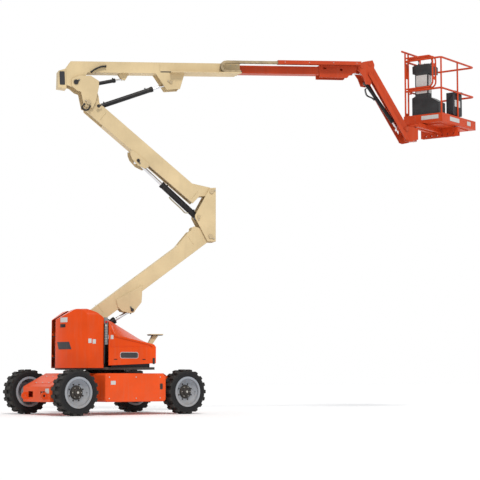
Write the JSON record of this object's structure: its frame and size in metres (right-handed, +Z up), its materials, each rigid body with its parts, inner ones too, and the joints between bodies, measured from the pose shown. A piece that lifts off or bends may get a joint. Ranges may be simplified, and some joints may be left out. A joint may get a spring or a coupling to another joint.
{
  "type": "articulating boom lift",
  "caption": "Wheeled electric articulating boom lift with a folding tower, telescopic main boom, jib and rotating work platform.",
  "frame": {"origin": "floor level under the slew axis", "axes": "+X along the booms from the tail to the platform, +Y to the far side, +Z up"},
  "size_m": [8.3573, 2.5928, 6.272],
  "materials": {
    "body_orange": "gloss",
    "boom_tan": "satin",
    "jib_orange": "satin",
    "frame_dark": "satin",
    "cylinder_black": "gloss",
    "rod_chrome": "polished",
    "rim_grey": "satin",
    "tyre_rubber": "matte",
    "cast_grey": "satin",
    "plastic_black": "matte",
    "carrier_plastic": "matte"
  },
  "bodies": {
    "chassis": {"chassis_frame": "body_orange", "side_boxes": "body_orange", "steer_axle": "cast_grey", "drive_axle": "cast_grey", "slew_ring": "frame_dark"},
    "steer_knuckle_near": {"steer_knuckle_near": "cast_grey"},
    "steer_knuckle_far": {"steer_knuckle_far": "cast_grey"},
    "tie_rod": {"tie_rod": "cast_grey"},
    "wheel_steer_near": {"rim_steer_near": "rim_grey", "tyre_steer_near": "tyre_rubber"},
    "wheel_steer_far": {"rim_steer_far": "rim_grey", "tyre_steer_far": "tyre_rubber"},
    "wheel_drive_near": {"rim_drive_near": "rim_grey", "tyre_drive_near": "tyre_rubber"},
    "wheel_drive_far": {"rim_drive_far": "rim_grey", "tyre_drive_far": "tyre_rubber"},
    "turntable": {"turntable_frame": "frame_dark", "counterweight": "cast_grey", "battery_packs": "plastic_black", "ground_controls": "plastic_black", "boom_rest": "boom_tan"},
    "tail_hood_near": {"tail_hood_near": "body_orange"},
    "front_hood_near": {"front_hood_near": "body_orange"},
    "tail_hood_far": {"tail_hood_far": "body_orange"},
    "front_hood_far": {"front_hood_far": "body_orange"},
    "lower_boom": {"lower_boom": "boom_tan"},
    "lower_upright": {"lower_upright": "boom_tan"},
    "mid_boom": {"mid_boom": "boom_tan"},
    "upper_upright": {"upper_upright": "boom_tan"},
    "main_boom": {"main_boom": "boom_tan", "tail_cover": "plastic_black"},
    "fly_boom": {"fly_boom": "jib_orange", "cable_tray": "jib_orange"},
    "cable_track": {"cable_track": "carrier_plastic", "carrier_hoses": "plastic_black"},
    "jib_base": {"jib_base": "jib_orange"},
    "jib_arm": {"jib_arm": "jib_orange"},
    "jib_links": {"jib_links": "jib_orange"},
    "jib_head": {"jib_head": "jib_orange"},
    "platform": {"platform_support": "jib_orange", "platform_floor": "jib_orange", "platform_rails": "jib_orange", "platform_console": "plastic_black", "document_box": "plastic_black"},
    "drop_bar": {"drop_bar": "jib_orange"},
    "lower_cylinder": {"lower_cylinder": "cylinder_black"},
    "lower_rod": {"lower_rod": "rod_chrome"},
    "mid_cylinder": {"mid_cylinder": "cylinder_black"},
    "mid_rod": {"mid_rod": "rod_chrome"},
    "main_cylinder": {"main_cylinder": "cylinder_black"},
    "main_rod": {"main_rod": "rod_chrome"},
    "master_cylinder": {"master_cylinder": "cylinder_black"},
    "master_rod": {"master_rod": "rod_chrome"},
    "slave_cylinder": {"slave_cylinder": "cylinder_black"},
    "slave_rod": {"slave_rod": "rod_chrome"},
    "jib_cylinder": {"jib_cylinder": "cylinder_black"},
    "jib_rod": {"jib_rod": "rod_chrome"}
  },
  "joints": [
    {"name": "steer", "type": "hinge", "parent": "chassis", "child": "steer_knuckle_near", "pos_m": [-0.7286, -0.9063, 0.354], "axis": [0, 0, 1], "range_deg": [-32, 32]},
    {"name": "steer_far", "type": "hinge", "parent": "chassis", "child": "steer_knuckle_far", "pos_m": [-1.14789, 0.18599, 0.354], "axis": [0, 0, 1], "range_deg": [-32, 32]},
    {"name": "tie_rod_shift", "type": "slide", "parent": "chassis", "child": "tie_rod", "axis": [-0.3584, 0.9336, 0], "range_m": [-0.1, 0.1]},
    {"name": "wheel_steer_near_spin", "type": "hinge", "parent": "steer_knuckle_near", "child": "wheel_steer_near", "pos_m": [-0.66768, -1.06501, 0.354], "axis": [-0.3584, 0.9336, 0], "continuous": true},
    {"name": "wheel_steer_far_spin", "type": "hinge", "parent": "steer_knuckle_far", "child": "wheel_steer_far", "pos_m": [-1.20882, 0.34469, 0.354], "axis": [-0.3584, 0.9336, 0], "continuous": true},
    {"name": "wheel_drive_near_spin", "type": "hinge", "parent": "chassis", "child": "wheel_drive_near", "pos_m": [1.20882, -0.34469, 0.354], "axis": [-0.3584, 0.9336, 0], "continuous": true},
    {"name": "wheel_drive_far_spin", "type": "hinge", "parent": "chassis", "child": "wheel_drive_far", "pos_m": [0.66768, 1.06501, 0.354], "axis": [-0.3584, 0.9336, 0], "continuous": true},
    {"name": "slew", "type": "hinge", "parent": "chassis", "child": "turntable", "pos_m": [0, 0, 0.69], "axis": [0, 0, 1], "range_deg": [-180, 180]},
    {"name": "tail_hood_near_open", "type": "hinge", "parent": "turntable", "child": "tail_hood_near", "pos_m": [-0.808, -0.228, 1.2], "axis": [0, 0, -1], "range_deg": [0, 70]},
    {"name": "front_hood_near_open", "type": "hinge", "parent": "turntable", "child": "front_hood_near", "pos_m": [0.64, -0.226, 0.95], "axis": [0, 0, 1], "range_deg": [0, 70]},
    {"name": "tail_hood_far_open", "type": "hinge", "parent": "turntable", "child": "tail_hood_far", "pos_m": [-0.808, 0.228, 1.2], "axis": [0, 0, 1], "range_deg": [0, 70]},
    {"name": "front_hood_far_open", "type": "hinge", "parent": "turntable", "child": "front_hood_far", "pos_m": [0.64, 0.226, 0.95], "axis": [0, 0, -1], "range_deg": [0, 70]},
    {"name": "lower_lift", "type": "hinge", "parent": "turntable", "child": "lower_boom", "pos_m": [-0.343, 0, 1.499], "axis": [0, -1, 0], "range_deg": [-38.5, 34]},
    {"name": "lower_upright_level", "type": "hinge", "parent": "lower_boom", "child": "lower_upright", "pos_m": [1.708, 0, 2.871], "axis": [0, -1, 0], "range_deg": [-34, 38.5]},
    {"name": "mid_lift", "type": "hinge", "parent": "lower_upright", "child": "mid_boom", "pos_m": [1.721, 0, 3.608], "axis": [0, -1, 0], "range_deg": [-34, 38.5]},
    {"name": "upper_upright_level", "type": "hinge", "parent": "mid_boom", "child": "upper_upright", "pos_m": [-0.33, 0, 4.98], "axis": [0, -1, 0], "range_deg": [-38.5, 34]},
    {"name": "main_lift", "type": "hinge", "parent": "upper_upright", "child": "main_boom", "pos_m": [-0.539, 0, 5.303], "axis": [0, -1, 0], "range_deg": [-4, 72]},
    {"name": "telescope", "type": "slide", "parent": "main_boom", "child": "fly_boom", "axis": [0.999, 0, 0.0436], "range_m": [-1.3, 0.4]},
    {"name": "cable_track_run", "type": "slide", "parent": "main_boom", "child": "cable_track", "axis": [0.999, 0, 0.0436], "range_m": [-0.65, 0.2]},
    {"name": "jib_base_level", "type": "hinge", "parent": "fly_boom", "child": "jib_base", "pos_m": [4.36, 0, 5.832], "axis": [0, -1, 0], "range_deg": [-72, 4]},
    {"name": "jib_lift", "type": "hinge", "parent": "jib_base", "child": "jib_arm", "pos_m": [4.507, 0, 5.885], "axis": [0, -1, 0], "range_deg": [-1, 142]},
    {"name": "jib_link_swing", "type": "hinge", "parent": "jib_base", "child": "jib_links", "pos_m": [4.499, 0, 5.725], "axis": [0, -1, 0], "range_deg": [-1, 142]},
    {"name": "jib_head_level", "type": "hinge", "parent": "jib_arm", "child": "jib_head", "pos_m": [5.176, 0, 4.791], "axis": [0, -1, 0], "range_deg": [-142, 1]},
    {"name": "platform_rotate", "type": "hinge", "parent": "jib_head", "child": "platform", "pos_m": [5.32, 0, 4.86], "axis": [0, 0, 1], "range_deg": [-127, 52]},
    {"name": "drop_bar_lift", "type": "hinge", "parent": "platform", "child": "drop_bar", "pos_m": [5.87329, 0.73577, 5.556], "axis": [-0.606, 0.7955, 0], "range_deg": [0, 60]},
    {"name": "lower_cylinder_swing", "type": "hinge", "parent": "turntable", "child": "lower_cylinder", "pos_m": [-0.52, 0, 1.088], "axis": [0, -1, 0], "range_deg": [-26.9, 23.87]},
    {"name": "lower_rod_stroke", "type": "slide", "parent": "lower_cylinder", "child": "lower_rod", "axis": [0.8535, 0, 0.5211], "range_m": [-0.1864, 0.1658]},
    {"name": "mid_cylinder_swing", "type": "hinge", "parent": "lower_upright", "child": "mid_cylinder", "pos_m": [1.505, 0, 3.192], "axis": [0, -1, 0], "range_deg": [-32.56, 36.73]},
    {"name": "mid_rod_stroke", "type": "slide", "parent": "mid_cylinder", "child": "mid_rod", "axis": [-0.7517, 0, 0.6595], "range_m": [-0.3169, 0.281]},
    {"name": "main_cylinder_swing", "type": "hinge", "parent": "upper_upright", "child": "main_cylinder", "pos_m": [-0.17, 0, 4.93], "axis": [0, -1, 0], "range_deg": [-4.88, 70.75]},
    {"name": "main_rod_stroke", "type": "slide", "parent": "main_cylinder", "child": "main_rod", "axis": [0.9334, 0, 0.3588], "range_m": [-0.0455, 0.6495]},
    {"name": "master_cylinder_swing", "type": "hinge", "parent": "upper_upright", "child": "master_cylinder", "pos_m": [-0.26, 0, 5.3], "axis": [0, -1, 0], "range_deg": [-6.01, 91.12]},
    {"name": "master_rod_stroke", "type": "slide", "parent": "master_cylinder", "child": "master_rod", "axis": [0.9725, 0, 0.2329], "range_m": [-0.0241, 0.2633]},
    {"name": "slave_cylinder_swing", "type": "hinge", "parent": "fly_boom", "child": "slave_cylinder", "pos_m": [3.8, 0, 5.742], "axis": [0, -1, 0], "range_deg": [-1.01, 1.12]},
    {"name": "slave_rod_stroke", "type": "slide", "parent": "slave_cylinder", "child": "slave_rod", "axis": [1, 0, -0.0082], "range_m": [-0.1372, 0.0171]},
    {"name": "jib_cylinder_swing", "type": "hinge", "parent": "jib_base", "child": "jib_cylinder", "pos_m": [4.477, 0, 5.585], "axis": [0, -1, 0], "range_deg": [-1.96, 137.32]},
    {"name": "jib_rod_stroke", "type": "slide", "parent": "jib_cylinder", "child": "jib_rod", "axis": [0.5993, 0, -0.8005], "range_m": [-0.0138, 0.5508]}
  ],
  "couplings": [
    {"joint": "steer_far", "follows": "steer", "ratio": 1},
    {"joint": "tie_rod_shift", "follows": "steer", "m_per_rad": 0.15},
    {"joint": "lower_upright_level", "follows": "lower_lift", "ratio": -1},
    {"joint": "mid_lift", "follows": "lower_lift", "ratio": -1},
    {"joint": "upper_upright_level", "follows": "lower_lift", "ratio": 1},
    {"joint": "cable_track_run", "follows": "telescope", "ratio": 0.5},
    {"joint": "jib_base_level", "follows": "main_lift", "ratio": -1},
    {"joint": "jib_link_swing", "follows": "jib_lift", "ratio": 1},
    {"joint": "jib_head_level", "follows": "jib_lift", "ratio": -1},
    {"joint": "lower_cylinder_swing", "follows": "lower_lift", "ratio": 0.6727},
    {"joint": "lower_rod_stroke", "follows": "lower_lift", "m_per_rad": 0.2625},
    {"joint": "mid_cylinder_swing", "follows": "lower_lift", "ratio": -0.9281},
    {"joint": "mid_rod_stroke", "follows": "lower_lift", "m_per_rad": 0.4567},
    {"joint": "main_cylinder_swing", "follows": "main_lift", "ratio": 0.9688},
    {"joint": "main_rod_stroke", "follows": "main_lift", "m_per_rad": 0.5089},
    {"joint": "master_cylinder_swing", "follows": "main_lift", "ratio": 1.2516},
    {"joint": "master_rod_stroke", "follows": "main_lift", "m_per_rad": 0.2016},
    {"joint": "slave_cylinder_swing", "follows": "main_lift", "ratio": 0.0016},
    {"joint": "slave_rod_stroke", "follows": "main_lift", "m_per_rad": -0.1012},
    {"joint": "jib_cylinder_swing", "follows": "jib_lift", "ratio": 0.96},
    {"joint": "jib_rod_stroke", "follows": "jib_lift", "m_per_rad": 0.2182}
  ]
}
